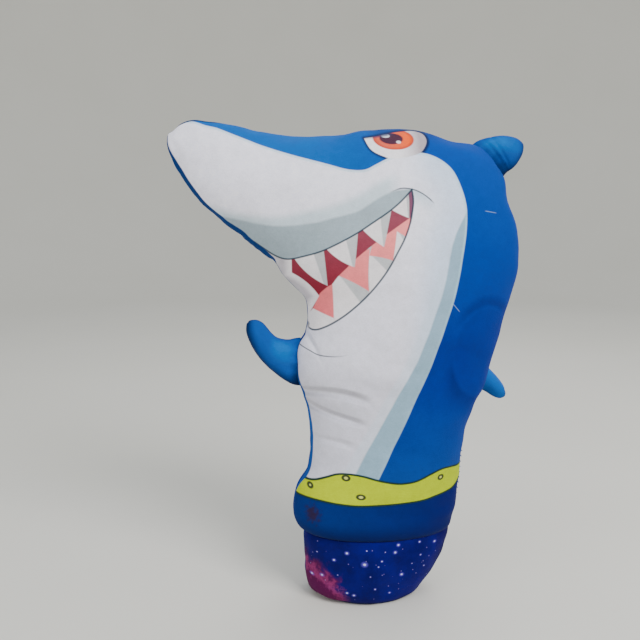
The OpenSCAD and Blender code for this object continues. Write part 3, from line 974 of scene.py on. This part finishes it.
BODY = (BODY_RIBS, rows(BODY_RIBS, 2.1, tight_end=0), 104,
        wrinkles("body_form", BODY_RIBS, 5.0, 34, 0.06, 90))
BOOT = (BOOT_RIBS, rows(BOOT_RIBS, 1.7, tight_end=1), 80,
        wrinkles("boot_form", BOOT_RIBS, 4.5, 30, 0.04, 94))
WAIST_BEND = ("base", (0, 0, WAIST_Z * MM), (0, 0, BEND_TOP_Z * MM))
cloth("front_panel", BODY, -1, body_height(-1), "torso", FRONT, print_fields,
      WAIST_BEND)
cloth("back_panel", BODY, 1, body_height(1), "torso", BACK, bend=WAIST_BEND)
cloth("galaxy_front", BOOT, -1, boot_height, "base", GALAXY)
cloth("galaxy_back", BOOT, 1, boot_height, "base", BOOT_BACK)

# ==== Sole ====
SOLE_RINGS, SOLE_SPOKES = 26, 120
SOLE_X, SOLE_HALF_X, SOLE_HALF_Y = -4, 44.2, 33.2
# the edge turns up by RIM_LIFT mm over the outer part of the panel
RIM_LIFT, RIM_FROM = 1.9, 0.93


def sole():
    """The oval panel under the boot, flat where it rests, its edge turned up to the seam."""
    share = np.linspace(0, 1, SOLE_RINGS)[:, None]
    angle = np.linspace(0, 2 * math.pi, SOLE_SPOKES + 1)
    x = SOLE_X + SOLE_HALF_X * share * np.cos(angle)
    y = SOLE_HALF_Y * share * np.sin(angle)
    lift = RIM_LIFT * np.clip((share - RIM_FROM) / (1 - RIM_FROM), 0, 1) ** 2 + 0 * angle
    under = np.stack([x, y, lift], -1)
    weave = 0.12 * np.clip(lumps(under, 6, 31), -1, 0) * (share < 0.9)
    over = np.stack([x, y, lift + CLOTH + weave], -1)
    made = panel("base_panel_cloth", under[:, ::-1], over[:, ::-1], 1)
    # the grid's first and last spokes are joined, and the wall between them taken out
    whole = bmesh.new()
    whole.from_mesh(made.data)
    bmesh.ops.remove_doubles(whole, verts=whole.verts, dist=0.00002)
    walls = [f for f in whole.faces
             if abs(f.normal.y) > 0.99 and abs(f.calc_center_median().y) < 0.0001]
    bmesh.ops.delete(whole, geom=walls, context="FACES")
    whole.to_mesh(made.data)
    whole.free()
    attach(made, "base")
    sewn(made, "base_panel", SOLE)


sole()


# ==== Fins ====
def turn(axis, degrees):
    """The matrix of a turn about the axis 0, 1 or 2."""
    a, b = (axis + 1) % 3, (axis + 2) % 3
    made = np.eye(3)
    made[[a, b], [a, b]] = math.cos(math.radians(degrees))
    made[b, a] = math.sin(math.radians(degrees))
    made[a, b] = -made[b, a]
    return made


RIGHT_TURN = turn(0, -35) @ turn(2, 20) @ turn(1, -20)
LEFT_ROOT, RIGHT_ROOT, DORSAL_ROOT = [-71.2, 0, 215], [85.6, 26.96, 198.6], [103.5, 0, 392.25]
DORSAL_AXIS = [0.7551, 0, 0.6556]


def place_left(p):
    return p * [-1, 1, 1] + LEFT_ROOT


def place_right(p):
    return (p * [1, 1, -1]) @ RIGHT_TURN.T + RIGHT_ROOT


# half waves of the pleats at a fin's root, where they are deepest, and how far they reach
PLEATS, PLEATS_AT, PLEATS_REACH = 9, 5, 6
FIN_COLUMNS = 44


def fin_height(seed, folds):
    def height(p, run, gaps):
        h = 0.5 * lumps(p, 12, seed) + 0.25 * lumps(p, 6, seed + 1)
        h = h * off_seams(gaps, 8)
        h = h + seam_line(run, gaps, seed + 2, groove=0.6, pucker=0.35)
        across = gaps[0] / np.maximum(gaps[0] + gaps[1], 1)
        pleat = (np.sin(across * PLEATS * math.pi + seed)
                 * np.exp(-np.abs(run - PLEATS_AT) / PLEATS_REACH)[:, None])
        h = h + 0.6 * pleat * off_seams(gaps, 5)
        for at, slant, deep in folds:
            away = run[:, None] - at - slant * (across - 0.5)
            h = h - deep * bell(away, 1.5) * np.sin(math.pi * across) ** 0.5
        return h
    return height


def fin(name, table, seed, bend, place=None, mirrored=False, low_edge="left", folds=()):
    """Both cloths of a fin. Its lower edge is the left or the right end of its ribs, and folds
    are (distance from the root, slant, depth) of the creases across it."""
    t = rows(table, 1.0)
    run = length_of(table, t)
    for side, word in ((-1, "front"), (1, "back")):
        # a mirrored fin's faces are turned the right way round again by building it reversed
        outside, inside, gaps = shape(table, t, side, FIN_COLUMNS,
                                      fin_height(seed + (side > 0) * 30, folds), place)
        low, high = gaps if low_edge == "right" else gaps[::-1]
        made = panel(f"{name}_{word}_cloth", outside, inside, -side if mirrored else side,
                     {"root": run[:, None] + 0 * low, "low": low, "high": high})
        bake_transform(made)
        sewn(made, f"{name}_{word}", FIN)


def along(start, direction, first, last):
    """Two points on a line from a fin's root, in metres."""
    return tuple((start + np.array(direction) * d) * MM for d in (first, last))


fin("left_fin", SIDE_FIN_RIBS, 60, along(LEFT_ROOT, [-1, 0, 0], -3, 9), place_left, True,
    folds=((22, 10, 0.5),))
fin("right_fin", SIDE_FIN_RIBS, 70, along(RIGHT_ROOT, RIGHT_TURN @ [1, 0, 0], -3, 9), place_right,
    True, "right", ((24, 8, 0.6),))
fin("dorsal_fin", DORSAL_FIN_RIBS, 80, along(DORSAL_ROOT, DORSAL_AXIS, -3, 8),
    low_edge="right", folds=((10.5, 5, 0.8), (15, 9, 0.7)))

# ==== What is inside ====
INSIDE = {
    "_fill": inner("stuffing", (232, 232, 228), 0.4, 0.002),
    "_seam": inner("seam_allowance", (20, 62, 140), 1.5, 0.0004),
    "closing_stitches": inner("thread", (18, 70, 150), 3.0, 0.0002, 0.6),
    "pellet_bag": inner("bag_cloth", (224, 222, 214), 1.8, 0.0004),
    "pellets": inner("pellets", (206, 206, 200), 0.5, 0.001, 0.5),
}
for node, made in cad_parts.items():
    for ending, material in INSIDE.items():
        if node.endswith(ending):
            dress(made, material)

# ==== Floor, light and camera ====
def backdrop():
    """A pale round floor that curves up into a wall on every side."""
    flat, fillet, top, spokes, arcs = 2.1, 1.3, 2.6, 96, 16
    bends = [math.pi / 2 * k / arcs for k in range(1, arcs + 1)]
    profile = [(flat * share, 0.0) for share in (0.2, 0.6, 1.0)]
    profile += [(flat + fillet * math.sin(a), fillet - fillet * math.cos(a)) for a in bends]
    profile.append((flat + fillet, top))
    points = [(0.0, 0.0, 0.0)]
    for out, z in profile:
        for k in range(spokes):
            a = 2 * math.pi * k / spokes
            points.append((out * math.cos(a), out * math.sin(a), z))
    faces = [(0, 1 + k, 1 + (k + 1) % spokes) for k in range(spokes)]
    for ring in range(len(profile) - 1):
        for k in range(spokes):
            a, b = 1 + ring * spokes + k, 1 + ring * spokes + (k + 1) % spokes
            faces.append((a, a + spokes, b + spokes, b))
    mesh = bpy.data.meshes.new("backdrop")
    mesh.from_pydata(points, [], faces)
    mesh.polygons.foreach_set("use_smooth", [True] * len(faces))
    made = add_object("backdrop", mesh)
    m = Maker("backdrop")
    mottle = m.noise(m.node("TexCoord").outputs["Object"], 3.0)
    colour = m.mix(mottle, (212, 209, 201), (218, 215, 208))
    dress(made, m.finish({"Base Color": colour, "Roughness": 0.9}))


def lamp(name, place, aim, size, watts, colour):
    light = tune(bpy.data.lights.new(name, "AREA"), shape="RECTANGLE", size=size[0],
                 size_y=size[1], energy=watts, color=colour)
    made = add_object(name, light)
    made.location = place
    made.rotation_euler = (Vector(aim) - Vector(place)).to_track_quat("-Z", "Y").to_euler()


backdrop()
lamp("key", (0.9, -1.3, 1.5), (0, 0, 0.22), (0.9, 0.9), 40, (0.99, 0.985, 0.985))
lamp("fill", (-1.5, -1.1, 0.8), (0, 0, 0.2), (1.2, 1.2), 11, (0.93, 0.96, 1.0))
lamp("back", (0.5, 0.75, 1.4), (0, 0, 0.2), (0.8, 0.8), 6, (1.0, 1.0, 1.0))
world = bpy.data.worlds.new("room")
world.use_nodes = True
sky = world.node_tree.nodes["Background"].inputs
sky["Color"].default_value = (0.82, 0.88, 0.92, 1)
sky["Strength"].default_value = 0.95
SCENE.world = world

# degrees by which the camera looks down on the toy, and stands to its left
CAMERA_DOWN, CAMERA_LEFT = 9, 6
camera = add_object("camera", bpy.data.cameras.new("camera"))
tune(camera.data, lens=42.19, sensor_width=36, clip_start=0.05)
camera.location = (-0.1157, -0.6426, 0.3540)
camera.rotation_euler = (math.radians(90 - CAMERA_DOWN), 0, math.radians(-CAMERA_LEFT))
SCENE.camera = camera
